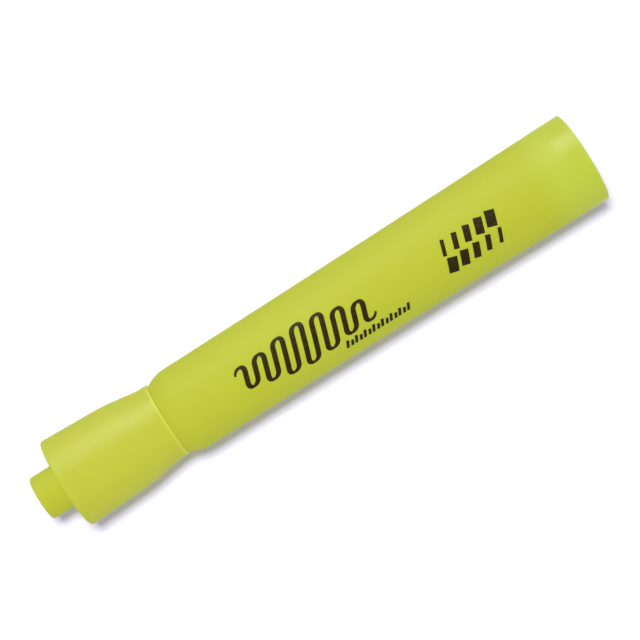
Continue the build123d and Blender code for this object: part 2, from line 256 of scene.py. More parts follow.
class PrintSizes(bpy.types.PropertyGroup):
    ink: length("Ink", 0.02, "Height of the printed ink above the plastic")
    wave_start: length("Wave start", 46.4, "Distance from the nub's end to the printed wave")
    wave_length: length("Wave length", 29.0, "Length of the wave along the pen")
    wave_strokes: number_of("Wave strokes", 13, "Number of straight strokes in the wave")
    wave_top: length("Wave start arc", 1.2, "Distance round the pen from its top to the wave's start")
    wave_fall: length("Wave fall", 1.6, "How much further round the wave's end lies")
    wave_low: length("Wave low", 1.1, "Half of the straight strokes' length at the wave's ends")
    wave_swell: length("Wave swell", 2.1, "What the strokes gain halfway along")
    stroke: length("Stroke", 1.1, "Width of the wave's broad strokes")
    hairline: length("Hairline", 0.6, "Width of the wave's turns")
    tip: amount("Tip", 0.35, "Share of its width that the wave's line has at its very ends")
    tip_growth: amount("Tip growth", 0.13, "What that share gains from one place on the line to the next")
    ticks: number_of("Ticks", 15, "Number of ticks in the row")
    ticks_start: length("Ticks start", 67.9, "Distance from the nub's end to the row of ticks")
    ticks_length: length("Ticks length", 14.0, "Length of the row of ticks")
    ticks_arc: length("Ticks arc", 7.2, "Distance round the pen from its top to the ticks' middle")
    ticks_height: length("Ticks height", 1.9, "Height of the tall ticks")
    short_tick: amount("Short tick", 0.75, "Height of every second tick, as a share of the tall ones")
    tick_width: length("Tick width", 0.62, "Width of a tick")
    samples: number_of("Samples", 5, "Number of stroke samples in a row")
    samples_start: length("Samples start", 93.6, "Distance from the nub's end to the stroke samples")
    samples_length: length("Samples length", 10.9, "Length of a row of stroke samples")
    samples_arc: length("Samples arc", -1.1, "Distance round the pen from its top to the first row's edge")
    samples_height: length("Samples height", 3.2, "Height of a row of stroke samples")
    samples_gap: length("Samples gap", 0.8, "Distance between the two rows")
    thinnest: length("Thinnest sample", 0.8, "Width of the thinnest sample")
    broadest: length("Broadest sample", 2.1, "Width of the broadest sample")
    slant: amount("Slant", 0.32, "Lean of every printed stroke", min=0.0)


class Colours(bpy.types.PropertyGroup):
    plastic: paint("Plastic", "#7E8322", "Fluorescent yellow plastic of the barrel")
    # Painted light: the cap's copy of the plastic is painted a little paler, for light scattered from its
    # inner wall
    cap_plastic_painted_lighter: paint("Cap plastic", "#818526", "The same plastic in the cap, lit from its inner wall")
    # Painted glow: the barrel's colour painted paler and greener near its rear end, for light that leaves the
    # wall there
    painted_rear_glow: paint("Plastic edge", "#7E872B", "The same plastic over the plug at the rear end")
    lit_rim: paint("Lit rim", "#888C2D", "The same plastic at the cap's rim, where light leaves it")
    # Painted light: the rear plug's copy of the plastic is painted paler, for light that reaches it from
    # outside
    plug_plastic_painted_lighter: paint("Plug plastic", "#9BA12D", "The same plastic in the rear plug, lit from outside")
    natural: paint("Natural plastic", "#E6E6DC", "Undyed polypropylene of the nib holder and air tube")
    felt: paint("Felt", "#D9E22B", "Nib felt wet with ink")
    felt_dry: paint("Dry felt", "#E9ECA0", "Fibre ends of the nib where ink has drawn back")
    fibre: paint("Fibre", "#DCE64A", "Ink-soaked fibre of the store")
    film: paint("Film", "#F2F4EC", "Clear wrapping film")
    print_ink: paint("Print ink", "#241B05", "Dark brown printing ink")
    print_thin: paint("Thin print ink", "#4A4012", "The same ink where it has taken thinly")
    floor: paint("Floor", "#E9E6FF", "Plain pale floor, slightly cool")


class StageSettings(bpy.types.PropertyGroup):
    height: length("Camera height", 477.0, "Height of the camera above the pen's axis")
    aside_x: length("Aside X", 2.2, "Camera's place along the pen")
    aside_y: length("Aside Y", 0.5, "Camera's place across the pen")
    roll: amount("Roll", math.radians(-32.3), "Turn of the camera about its line of sight", subtype="ANGLE")
    lens: amount("Lens", 135.0, "Focal length", unit="CAMERA")
    sensor: amount("Sensor", 36.0, "Width of the camera's sensor", unit="CAMERA")
    nearest: length("Nearest", 10.0, "Distance at which the camera begins to see")
    floor_size: length("Floor size", 3000.0, "Side of the floor")
    sky: amount("Sky", 0.5, "Strength of the even light from all round")
    key_place: spot("Key place", (0.0, 146.0, 750.0), "Place of the lamp above the pen")
    key_side: length("Key side", 150.0, "Side of that square lamp")
    key_watts: amount("Key watts", 5.5, "Power of that lamp")
    side_place: spot("Side place", (20.0, 460.0, 345.0), "Place of the soft box whose gleam the pen shows")
    side_width: length("Side width", 360.0, "Width of that soft box")
    side_height: length("Side height", 400.0, "Height of that soft box")
    side_watts: amount("Side watts", 6.6, "Power of that soft box")


SETTINGS = {
    "barrel_sizes": BarrelSizes,
    "rear_plug_sizes": RearPlugSizes,
    "cap_sizes": CapSizes,
    "nib_sizes": NibSizes,
    "store_sizes": StoreSizes,
    "print_sizes": PrintSizes,
    "pen_colours": Colours,
    "stage_settings": StageSettings,
}

# ---- Modelling ----
RING = 192  # points round a turned piece
FINE_RING = 64  # points round a thin tube
SHOULDER_POINTS = 10  # steps along the barrel's rounded shoulder
FLARE_POINTS = 16  # steps along the barrel's flare
TURN_POINTS = 10  # steps round a turn of the printed wave
STROKE_POINTS = 6  # steps along one of its straight strokes
BAR_POINTS = 8  # steps along a printed tick or sample
SMOOTH_ANGLE = math.radians(32)
GROUND_ANGLE = math.radians(20)  # felt edges that turn more than this are rounded by grinding
SAME_PLACE = 4e-6  # two points nearer than this are one corner
DOUBLE = SAME_PLACE / 4  # two vertices nearer than this are merged
BEVEL_DEGREES = 15  # an outline's turn for each segment of a rounded corner
BLEND = 3 * MM  # a rounding larger than this gets BLEND_SEGMENTS more
BLEND_SEGMENTS = 4
SNAP_FLAT = 0.25 * MM  # from a snap ring's middle to the end of its crest
SNAP_FOOT = 0.5 * MM  # from its middle to its foot
SEAT_GAP = 0.05 * MM  # between faces that meet, such as the cap's rim and the barrel's stop face
PRESS_GAP = 0.02 * MM  # round a piece that is pressed into another
RIB_ROOT = 0.1 * MM  # how far a rib is sunk into the wall that it stands on
PAST = MM  # how far a cutter reaches past the piece that it cuts
INK_SUNK = 0.5  # what a print lies sunk in the plastic, as a share of its height above it

# Roundings of moulded edges
SHARP_EDGE = 0.05 * MM
GATE_EDGE = 0.08 * MM
CRISP_EDGE = 0.1 * MM
SNAP_EDGE = 0.12 * MM
PLAIN_EDGE = 0.15 * MM
EASED_EDGE = 0.2 * MM
SOFT_EDGE = 0.3 * MM


def start_clean():
    """Leaves edit mode and deselects everything."""
    if bpy.context.object and bpy.context.object.mode != "OBJECT":
        bpy.ops.object.mode_set(mode="OBJECT")
    bpy.ops.object.select_all(action="DESELECT")


def pick(piece):
    """Makes one piece the only selected and active one."""
    start_clean()
    piece.select_set(True)
    bpy.context.view_layer.objects.active = piece


def settle(piece, name, angle=SMOOTH_ANGLE):
    """Closes, faces outwards, smooths and names a modelled piece, with its place kept in its mesh."""
    pick(piece)
    bpy.ops.object.transform_apply(location=True, rotation=True, scale=True)
    bpy.ops.object.mode_set(mode="EDIT")
    bpy.ops.mesh.select_all(action="SELECT")
    bpy.ops.mesh.remove_doubles(threshold=DOUBLE)
    bpy.ops.mesh.normals_make_consistent(inside=False)
    bpy.ops.object.mode_set(mode="OBJECT")
    bpy.ops.object.shade_smooth_by_angle(angle=angle)
    piece.name = name
    piece.data.name = name
    return piece


def apply_modifier(piece, kind, **settings):
    """Adds a modifier, sets it and applies it."""
    pick(piece)
    modifier = piece.modifiers.new(kind.title(), kind)
    for setting, value in settings.items():
        setattr(modifier, setting, value)
    bpy.ops.object.modifier_apply(modifier=modifier.name)


def cut(piece, cutter, operation="DIFFERENCE"):
    """Takes a cutter out of a piece, or joins it on, and removes the cutter."""
    apply_modifier(piece, "BOOLEAN", object=cutter, operation=operation, solver="EXACT")
    bpy.data.objects.remove(cutter)


def select_corner(piece, x, radius, axis):
    """Selects the ring of edges at one corner of a turned outline."""
    bpy.ops.mesh.select_mode(type="EDGE")
    bpy.ops.mesh.select_all(action="DESELECT")
    mesh = bmesh.from_edit_mesh(piece.data)

    def at_corner(point):
        off_axis = math.hypot(point.co.y - axis.y, point.co.z - axis.z)
        return abs(point.co.x - x) < SAME_PLACE and abs(off_axis - radius) < SAME_PLACE

    for edge in mesh.edges:
        edge.select_set(all(at_corner(point) for point in edge.verts))
    bmesh.update_edit_mesh(piece.data)


def turn_between(before, corner, after):
    """How far an outline turns at a corner, in radians."""
    arriving = Vector(corner[:2]) - Vector(before[:2])
    leaving = Vector(after[:2]) - Vector(corner[:2])
    return arriving.angle(leaving, 0.0)


def turned(name, outline, points=RING, axis=None):
    """A round piece: a ring is extruded from corner to corner of the outline, then its corners are rounded.

    A corner is (x, radius) or (x, radius, rounding). An outline that starts and ends on the axis is solid
    there, and any other outline closes on itself.
    """
    axis = axis or Vector((0, 0, AXIS_Z))
    solid = outline[0][1] == 0
    rings = [corner for corner in outline if corner[1] > 0]
    start_clean()
    bpy.ops.mesh.primitive_circle_add(
        vertices=points,
        radius=rings[0][1],
        location=(rings[0][0], axis.y, axis.z),
        rotation=(0, math.pi / 2, 0),
    )
    piece = bpy.context.object
    bpy.ops.object.transform_apply(location=True, rotation=True, scale=True)
    bpy.ops.object.mode_set(mode="EDIT")
    bpy.ops.mesh.select_all(action="SELECT")
    route = rings[1:] + ([outline[-1]] if solid else [rings[0]])
    here = rings[0]
    for corner in route:
        extrude_ring(here, corner, axis)
        here = corner
    if solid:
        select_corner(piece, rings[0][0], rings[0][1], axis)
        extrude_ring(rings[0], outline[0], axis)
    bpy.ops.mesh.select_all(action="SELECT")
    bpy.ops.mesh.remove_doubles(threshold=DOUBLE)
    count = len(outline)
    for index, corner in enumerate(outline):
        if len(corner) < 3:
            continue
        bend = turn_between(outline[index - 1], corner, outline[(index + 1) % count])
        more = BLEND_SEGMENTS if corner[2] > BLEND else 0
        select_corner(piece, corner[0], corner[1], axis)
        bpy.ops.mesh.bevel(
            offset=corner[2] * math.tan(bend / 2),
            offset_type="OFFSET",
            segments=max(2, round(math.degrees(bend) / BEVEL_DEGREES) + more),
            affect="EDGES",
            clamp_overlap=False,
        )
    return settle(piece, name)


def extrude_ring(here, corner, axis):
    """Extrudes the selected ring from one corner of an outline to the next."""
    bpy.ops.mesh.extrude_edges_move(TRANSFORM_OT_translate={"value": (corner[0] - here[0], 0, 0)})
    growth = corner[1] / here[1]
    bpy.ops.transform.resize(value=(1, growth, growth), center_override=(corner[0], axis.y, axis.z))


def snap_ring(middle, base, crest, rounding):
    """Four corners of a snap ring across an outline that runs towards +X."""
    return [
        (middle - SNAP_FOOT, base, rounding),
        (middle - SNAP_FLAT, crest, rounding),
        (middle + SNAP_FLAT, crest, rounding),
        (middle + SNAP_FOOT, base, rounding),
    ]


def gate_mark(face, depth, radius, rounding):
    """Corners of the dimple that a mould's gate leaves in the middle of a face. Depth is signed along X."""
    return [(face + depth, 0.0), (face + depth, radius, rounding), (face, radius + abs(depth), rounding)]


def slab(name, low, high):
    """A box between two corners, to be shaped further or used as a cutter."""
    start_clean()
    bpy.ops.mesh.primitive_cube_add(size=1, location=(low + high) / 2)
    piece = bpy.context.object
    piece.scale = high - low
    bpy.ops.object.transform_apply(location=True, rotation=True, scale=True)
    piece.name = name
    return piece


def rounded_bar(name, start, end, width, thickness, corner, segments=8):
    """A bar along the pen's axis with a rounded-rectangle section."""
    piece = slab(
        name,
        Vector((start, -width / 2, AXIS_Z - thickness / 2)),
        Vector((end, width / 2, AXIS_Z + thickness / 2)),
    )
    bpy.ops.object.mode_set(mode="EDIT")
    bpy.ops.mesh.select_mode(type="EDGE")
    bpy.ops.mesh.select_all(action="DESELECT")
    mesh = bmesh.from_edit_mesh(piece.data)
    for edge in mesh.edges:
        run = edge.verts[0].co - edge.verts[1].co
        edge.select_set(abs(run.x) > abs(run.y) + abs(run.z))
    bmesh.update_edit_mesh(piece.data)
    bpy.ops.mesh.bevel(offset=corner, segments=segments, affect="EDGES", clamp_overlap=False)
    bpy.ops.object.mode_set(mode="OBJECT")
    return piece


def prism(name, outline, thickness):
    """An outline of (x, radius) corners, upright through the pen's axis, given a thickness across it."""
    start_clean()
    bpy.ops.mesh.primitive_circle_add(vertices=len(outline), fill_type="NGON", location=(0, 0, 0))
    piece = bpy.context.object
    for vertex, (x, radius) in zip(piece.data.vertices, outline):
        vertex.co = (x, -thickness / 2, AXIS_Z + radius)
    bpy.ops.object.mode_set(mode="EDIT")
    bpy.ops.mesh.select_all(action="SELECT")
    bpy.ops.mesh.extrude_region_move(TRANSFORM_OT_translate={"value": (0, thickness, 0)})
    bpy.ops.mesh.select_all(action="SELECT")
    bpy.ops.mesh.normals_make_consistent(inside=False)
    bpy.ops.object.mode_set(mode="OBJECT")
    piece.name = name
    return piece


def turn_about_axis(piece, angle):
    """Turns a piece about the pen's axis."""
    pick(piece)
    bpy.ops.transform.rotate(value=angle, orient_axis="X", center_override=(0, 0, AXIS_Z))
    bpy.ops.object.transform_apply(location=True, rotation=True, scale=True)


def copy_of(piece):
    """A copy with its own mesh."""
    pick(piece)
    bpy.ops.object.duplicate(linked=False)
    return bpy.context.object


def join(pieces):
    """Makes one object of several, and gives it back."""
    pick(pieces[0])
    for piece in pieces:
        piece.select_set(True)
    bpy.ops.object.join()
    return bpy.context.object


def trim(piece, point, outward):
    """Cuts a piece along a plane, drops what lies outside it and closes the cut."""
    pick(piece)
    bpy.ops.object.mode_set(mode="EDIT")
    bpy.ops.mesh.select_all(action="SELECT")
    bpy.ops.mesh.bisect(plane_co=point, plane_no=outward, use_fill=True, clear_outer=True)
    bpy.ops.object.mode_set(mode="OBJECT")


# ---- Materials ----
def linear(red_green_blue):
    """Linear colour of an sRGB hex code."""
    values = [int(red_green_blue[i : i + 2], 16) / 255 for i in (1, 3, 5)]
    return [v / 12.92 if v <= 0.04045 else ((v + 0.055) / 1.055) ** 2.4 for v in values] + [1.0]


def fill(tree, node, inputs):
    """Gives a node's inputs values, or links from other nodes' outputs."""
    for socket, value in inputs.items():
        if isinstance(value, bpy.types.NodeSocket):
            tree.links.new(value, node.inputs[socket])
        else:
            node.inputs[socket].default_value = value


def add_node(tree, kind, inputs, output=0, **settings):
    """Adds a shader node, sets it, fills its inputs, and returns one of its outputs."""
    node = tree.nodes.new("ShaderNode" + kind)
    for setting, value in settings.items():
        setattr(node, setting, value)
    fill(tree, node, inputs)
    return node.outputs[output]


# Sockets of a Mix node that mixes colours: how much of the second colour, both colours, and the outcome
SHARE = 0
FIRST = 6
SECOND = 7
MIXED = 2


def new_material(name, colour):
    """A material, its tree and its Principled shader."""
    material = bpy.data.materials.new(name)
    material.use_nodes = True
    material.diffuse_color = linear(colour)
    return material, material.node_tree, material.node_tree.nodes["Principled BSDF"]


def darker(colour, share):
    """A linear colour with a share of its light taken away."""
    return [channel * (1 - share) for channel in colour[:3]] + [1.0]


def dress(piece, material):
    """Gives a piece its only material."""
    piece.data.materials.clear()
    piece.data.materials.append(material)


# Fluorescent polypropylene, injection moulded. An even emission, partly the dye's fluorescence and partly
# painted glow that makes the plastic shine with no lamp and flattens its shading, lifts the yellow-green above
# what the lamps alone would give. Light spreads in the milky wall so that shading is soft. The colour is
# painted paler and greener near the cap's rim and the barrel's rear end, a painted glow for light that leaves
# the wall there. A finely etched mould gives the barrel a satin skin, and a polished mould gives a soft gloss.
# Flow marks run along the pen.
PAINTED_GLOW = 1.3  # light that the dye sends out, against the body's colour


def fluorescent_plastic(name, body, lift, roughness, shine, painted_glows=(), polish=(0.0, 1.0, 0.0)):
    """Lift is the strength of an even emission, partly the dye's fluorescence and partly painted glow, and
    shine is the specular level.

    A painted glow is (x where it starts, x where it is full, colour): there the colour is painted paler, for
    light that leaves the wall. Polish is (both, roughness taken off).
    """
    material, tree, shader = new_material(name, body)
    place = add_node(tree, "TexCoord", {}, "Object")
    along_pen = add_node(tree, "SeparateXYZ", {"Vector": place}, "X")
    flow = add_node(tree, "Mapping", {"Vector": place, "Scale": (0.25, 1, 1)})
    clouds = add_node(tree, "TexNoise", {"Vector": flow, "Scale": 1 / (6 * MM), "Detail": 3.0})
    etching = add_node(tree, "TexNoise", {"Vector": place, "Scale": 1 / (0.35 * MM)})
    deep = linear(body)
    mix = {SHARE: clouds, FIRST: darker(deep, share=0.05), SECOND: deep}
    tint = add_node(tree, "Mix", mix, MIXED, data_type="RGBA")
    # Each painted glow mixes a paler colour in along the pen, for light that leaves the wall near a rim or an
    # end
    for start, full, colour in painted_glows:
        reach = {"Value": along_pen, "From Min": start, "From Max": full}
        glow = add_node(tree, "MapRange", reach, interpolation_type="SMOOTHSTEP")
        mix = {SHARE: glow, FIRST: tint, SECOND: linear(colour)}
        tint = add_node(tree, "Mix", mix, MIXED, data_type="RGBA")
    start, full, smoothed = polish
    reach = {"Value": along_pen, "From Min": start, "From Max": full}
    reach.update({"To Min": roughness, "To Max": roughness - smoothed})
    grain = {"Height": etching, "Strength": 0.5 * roughness, "Distance": 0.008 * MM}
    ripple = {"Height": clouds, "Strength": 0.4, "Distance": 0.05 * MM}
    ripple["Normal"] = add_node(tree, "Bump", grain)
    fill(tree, shader, {
        "Base Color": tint,
        "Roughness": add_node(tree, "MapRange", reach, interpolation_type="SMOOTHSTEP"),
        "Normal": add_node(tree, "Bump", ripple),
        "IOR": 1.49,
        "Specular IOR Level": shine,
        "Subsurface Weight": 0.35,
        "Subsurface Radius": (1.0, 1.0, 0.25),
        "Subsurface Scale": 2.0 * MM,
        "Emission Color": tint,
        # Painted glow: an even emission in the plastic's own colour, partly the dye's fluorescence, lights it
        # with no lamp and flattens its shading
        "Emission Strength": lift,
    })
    return material


# Natural polypropylene, injection moulded or extruded: undyed, milky and a little waxy. Ink creeps from the
# nib and stains what is near it, so the tint fades from the stained end.
def natural_plastic(name, colours, stained_end, clean):
    """Between the stained end's x and the clean x, the stain fades."""
    material, tree, shader = new_material(name, colours.natural)
    place = add_node(tree, "TexCoord", {}, "Object")
    along_pen = add_node(tree, "SeparateXYZ", {"Vector": place}, "X")
    flow = add_node(tree, "Mapping", {"Vector": place, "Scale": (0.5, 1, 1)})
    clouds = add_node(tree, "TexNoise", {"Vector": flow, "Scale": 1 / (2.5 * MM), "Detail": 3.0})
    pitting = add_node(tree, "TexNoise", {"Vector": place, "Scale": 1 / (0.5 * MM)})
    milky = linear(colours.natural)
    mix = {SHARE: clouds, FIRST: darker(milky, share=0.06), SECOND: milky}
    tint = add_node(tree, "Mix", mix, MIXED, data_type="RGBA")
    reach = {"Value": along_pen, "From Min": stained_end, "From Max": clean, "To Min": 0.7, "To Max": 0.08}
    stained = add_node(tree, "MapRange", reach, interpolation_type="SMOOTHSTEP")
    patches = {"Value": clouds, "From Min": 0.25, "From Max": 0.65, "To Min": 0.5, "To Max": 1.0}
    patchy = add_node(tree, "MapRange", patches)
    creep = add_node(tree, "Math", {0: stained, 1: patchy}, operation="MULTIPLY")
    mix = {SHARE: creep, FIRST: tint, SECOND: linear(colours.felt)}
    wax = {"Value": clouds, "From Min": 0.3, "From Max": 0.7, "To Min": 0.34, "To Max": 0.44}
    fill(tree, shader, {
        "Base Color": add_node(tree, "Mix", mix, MIXED, data_type="RGBA"),
        "Roughness": add_node(tree, "MapRange", wax),
        "Normal": add_node(tree, "Bump", {"Height": pitting, "Strength": 0.3, "Distance": 0.01 * MM}),
        "IOR": 1.49,
        "Specular IOR Level": 0.4,
        "Subsurface Weight": 0.5,
        "Subsurface Radius": (1.0, 1.0, 0.85),
        "Subsurface Scale": 1.5 * MM,
    })
    return material


# Bonded polyester felt, ground to a chisel and wet with ink: fibres lie along the nib, their ends show as a
# fine grain, the edge that writes is worn a little darker, and only the wet film between fibres shines.
def nib_felt(name, colours, edge, unworn):
    """Between the writing edge's x and the unworn x, the worn look fades."""
    material, tree, shader = new_material(name, colours.felt)
    place = add_node(tree, "TexCoord", {}, "Object")
    along_pen = add_node(tree, "SeparateXYZ", {"Vector": place}, "X")
    drawn = add_node(tree, "Mapping", {"Vector": place, "Scale": (1 / 7, 1, 1)})
    fibres = add_node(tree, "TexNoise", {"Vector": drawn, "Scale": 1 / (0.16 * MM), "Detail": 3.0})
    clumped = add_node(tree, "Mapping", {"Vector": place, "Scale": (0.4, 1, 1)})
    tufts = add_node(tree, "TexNoise", {"Vector": clumped, "Scale": 1 / (0.7 * MM), "Detail": 3.0})
    wet = linear(colours.felt)
    strands = add_node(tree, "MapRange", {"Value": fibres, "From Min": 0.35, "From Max": 0.65})
    mix = {SHARE: strands, FIRST: darker(wet, share=0.18), SECOND: wet}
    tint = add_node(tree, "Mix", mix, MIXED, data_type="RGBA")
    dry = add_node(tree, "MapRange", {"Value": tufts, "From Min": 0.55, "From Max": 0.8, "To Max": 0.5})
    mix = {SHARE: dry, FIRST: tint, SECOND: linear(colours.felt_dry)}
    tint = add_node(tree, "Mix", mix, MIXED, data_type="RGBA")
    wear = {"Value": along_pen, "From Min": edge, "From Max": unworn, "To Min": 0.35, "To Max": 0.0}
    worn = add_node(tree, "MapRange", wear, interpolation_type="SMOOTHSTEP")
    mix = {SHARE: worn, FIRST: tint, SECOND: darker(wet, share=0.35)}
    damp = {"Value": tufts, "From Min": 0.3, "From Max": 0.7, "To Min": 0.6, "To Max": 0.9}
    grain = add_node(tree, "Bump", {"Height": fibres, "Strength": 0.7, "Distance": 0.05 * MM})
    nap = {"Height": tufts, "Strength": 0.5, "Distance": 0.08 * MM, "Normal": grain}
    fill(tree, shader, {
        "Base Color": add_node(tree, "Mix", mix, MIXED, data_type="RGBA"),
        "Roughness": add_node(tree, "MapRange", damp),
        "Normal": add_node(tree, "Bump", nap),
        "Specular IOR Level": 0.35,
        "Sheen Weight": 0.15,
        "Subsurface Weight": 0.25,
        "Subsurface Radius": (1.0, 1.0, 0.3),
        "Subsurface Scale": 0.8 * MM,
    })
    return material


# Ink store of polyester tow: thousands of fibres along the pen, soaked with ink, so it is streaky and damp.
# The fibres are 0.03 mm thick, and are drawn ten times as coarse so that the streaks show.
def ink_fibre(name, colours):
    material, tree, shader = new_material(name, colours.fibre)
    place = add_node(tree, "TexCoord", {}, "Object")
    drawn = add_node(tree, "Mapping", {"Vector": place, "Scale": (0.04, 1, 1)})
    streaks = add_node(tree, "TexNoise", {"Vector": drawn, "Scale": 1 / (0.3 * MM), "Detail": 4.0})
    pooled = add_node(tree, "Mapping", {"Vector": place, "Scale": (1 / 3, 1, 1)})
    soak = add_node(tree, "TexNoise", {"Vector": pooled, "Scale": 1 / (4 * MM)})
    soaked = linear(colours.fibre)
    strands = add_node(tree, "MapRange", {"Value": streaks, "From Min": 0.35, "From Max": 0.65})
    mix = {SHARE: strands, FIRST: darker(soaked, share=0.28), SECOND: soaked}
    tint = add_node(tree, "Mix", mix, MIXED, data_type="RGBA")
    dry = add_node(tree, "MapRange", {"Value": soak, "From Min": 0.4, "From Max": 0.8, "To Max": 0.4})
    mix = {SHARE: dry, FIRST: tint, SECOND: linear(colours.felt_dry)}
    damp = {"Value": soak, "From Min": 0.3, "From Max": 0.7, "To Min": 0.55, "To Max": 0.85}
    fill(tree, shader, {
        "Base Color": add_node(tree, "Mix", mix, MIXED, data_type="RGBA"),
        "Roughness": add_node(tree, "MapRange", damp),
        "Normal": add_node(tree, "Bump", {"Height": streaks, "Strength": 0.9, "Distance": 0.08 * MM}),
        "Specular IOR Level": 0.35,
        "Sheen Weight": 0.2,
    })
    return material


# Polypropylene wrapping film, clear and heat-sealed: glossy, with faint wrinkles round the store and a slight
# haze.
def wrap_film(name, colours):
    material, tree, shader = new_material(name, colours.film)
    place = add_node(tree, "TexCoord", {}, "Object")
    pulled = add_node(tree, "Mapping", {"Vector": place, "Scale": (2, 1, 1)})
    wrinkles = add_node(tree, "TexNoise", {"Vector": pulled, "Scale": 1 / (1.5 * MM), "Detail": 3.0})
    clear = linear(colours.film)
    mix = {SHARE: wrinkles, FIRST: darker(clear, share=0.1), SECOND: clear}
    haze = {"Value": wrinkles, "From Min": 0.3, "From Max": 0.7, "To Min": 0.08, "To Max": 0.2}
    fill(tree, shader, {
        "Base Color": add_node(tree, "Mix", mix, MIXED, data_type="RGBA"),
        "Roughness": add_node(tree, "MapRange", haze),
        "Normal": add_node(tree, "Bump", {"Height": wrinkles, "Strength": 0.4, "Distance": 0.03 * MM}),
        "IOR": 1.49,
        "Transmission Weight": 0.85,
    })
    return material


# Pad-printing ink: a thin dark brown coat, semi-gloss, that has taken unevenly on the etched skin.
def print_ink(name, colours):
    material, tree, shader = new_material(name, colours.print_ink)
    place = add_node(tree, "TexCoord", {}, "Object")
    patches = add_node(tree, "TexNoise", {"Vector": place, "Scale": 1 / (0.5 * MM), "Detail": 3.0})
    thin = add_node(tree, "MapRange", {"Value": patches, "From Min": 0.4, "From Max": 0.75, "To Max": 0.35})
    mix = {SHARE: thin, FIRST: linear(colours.print_ink), SECOND: linear(colours.print_thin)}
    gloss = {"Value": patches, "From Min": 0.3, "From Max": 0.7, "To Min": 0.4, "To Max": 0.6}
    fill(tree, shader, {
        "Base Color": add_node(tree, "Mix", mix, MIXED, data_type="RGBA"),
        "Roughness": add_node(tree, "MapRange", gloss),
        "Normal": add_node(tree, "Bump", {"Height": patches, "Strength": 0.3, "Distance": 0.01 * MM}),
        "Specular IOR Level": 0.12,
    })
    return material


# ---- Pieces ----
def circle_through(start, middle, end):
    """Centre and radius of the circle through three points of an outline."""
    (ax, ay), (bx, by), (cx, cy) = start, middle, end
    double_area = 2 * (ax * (by - cy) + bx * (cy - ay) + cx * (ay - by))
    a, b, c = ax * ax + ay * ay, bx * bx + by * by, cx * cx + cy * cy
    centre_x = (a * (by - cy) + b * (cy - ay) + c * (ay - by)) / double_area
    centre_y = (a * (cx - bx) + b * (ax - cx) + c * (bx - ax)) / double_area
    return centre_x, centre_y, math.hypot(ax - centre_x, ay - centre_y)


def radius_on(circle, x):
    """An outline's radius at x, on the side of its circle that is nearer the pen's axis."""
    centre_x, centre_y, reach = circle
    return centre_y - math.copysign(math.sqrt(reach**2 - (x - centre_x) ** 2), centre_y)


def barrel_flare(size):
    """The barrel's outline behind its shoulder: where it starts, where it ends, and its circle."""
    start = (RIM + SEAT_GAP + size.shoulder_length, size.front_radius)
    middle = ((RIM + SEAT_GAP + REAR) / 2, size.middle_radius)
    end = (REAR, size.rear_radius)
    return start, end, circle_through(start, middle, end)


def along(circle, start, end):
    """Points of an outline strictly between two places on its circle."""
    places = [start + (end - start) * index / FLARE_POINTS for index in range(1, FLARE_POINTS)]
    return [(x, radius_on(circle, x)) for x in places]


def shoulder_arc(start, end):
    """Points strictly between start and end on the arc that leaves start and arrives level at end."""
    run, rise = end[0] - start[0], end[1] - start[1]
    reach = (run**2 + rise**2) / (2 * rise)
    sweep = math.asin(run / reach)
    points = []
    for index in range(1, SHOULDER_POINTS):
        angle = sweep * (1 - index / SHOULDER_POINTS)
        points.append((end[0] - reach * math.sin(angle), end[1] - reach * (1 - math.cos(angle))))
    return points


class PEN_OT_barrel(bpy.types.Operator):
    """Models the barrel: flared tank, rounded shoulder, neck with its snap ring, and inner ribs"""

    bl_idname = "pen.barrel"
    bl_label = "Barrel"

    def execute(self, context):
        size = context.scene.barrel_sizes
        front = RIM + SEAT_GAP
        shoulder_end, rear, flare = barrel_flare(size)
        seat = size.rear_radius - size.wall
        tank = front + size.shoulder_wall
        groove = PLUG_FACE - context.scene.rear_plug_sizes.skirt / 2
        snap = RIM - size.snap_from_rim
        barrel = turned("moulded_barrel", [
            (front, size.neck_radius, PLAIN_EDGE),
            (front, size.stop_radius, size.stop_edge),
            *shoulder_arc((front, size.stop_radius), shoulder_end),
            shoulder_end,
            *along(flare, shoulder_end[0], REAR),
            (*rear, size.rear_edge),
            (REAR, seat, PLAIN_EDGE),
            *reversed(snap_ring(groove, seat, seat + size.groove_depth, SHARP_EDGE)),
            (REAR - size.seat_depth, seat),
            (tank, size.front_radius - size.wall, size.tank_edge),
            (front, size.neck_bore, EASED_EDGE),
            (NECK_END, size.neck_bore, SNAP_EDGE),
            (NECK_END, size.neck_radius, SOFT_EDGE),
            *snap_ring(snap, size.neck_radius, size.neck_radius + size.snap_height, SNAP_EDGE),
        ])
        rib_end = PLUG_FACE - context.scene.rear_plug_sizes.skirt - size.rib_end_gap
        stop_end = film_box[0].x - SEAT_GAP
        stop_radius = size.rib_radius - size.rib_stop
        rib = prism("rib", [
            (tank + RIB_ROOT, size.front_radius - size.wall / 2),
            (tank + RIB_ROOT, stop_radius),
            (stop_end, stop_radius),
            (stop_end, size.rib_radius),
            (rib_end, size.rib_radius),
            (rib_end + size.rib_stop, seat + RIB_ROOT),
        ], size.rib_thickness)
        pitch = 2 * math.pi / size.ribs
        ribs = []
        for number in range(size.ribs):
            ribs.append(copy_of(rib))
            turn_about_axis(ribs[-1], (number + 0.5) * pitch)
        bpy.data.objects.remove(rib)
        cut(barrel, join(ribs), "UNION")
        settle(barrel, "moulded_barrel")
        colours = context.scene.pen_colours
        dress(barrel, fluorescent_plastic(
            "Fluorescent polypropylene, etched barrel", colours.plastic, PAINTED_GLOW, roughness=0.6, shine=0.12,
            # Painted glow near the rear end, where the colour turns paler and greener
            painted_glows=[(REAR - size.glow_start, REAR - size.glow_full, colours.painted_rear_glow)],
            polish=(REAR - size.gloss_start, REAR - size.gloss_full, size.polish),
        ))
        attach(barrel, "barrel")
        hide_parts("barrel")
        return {"FINISHED"}


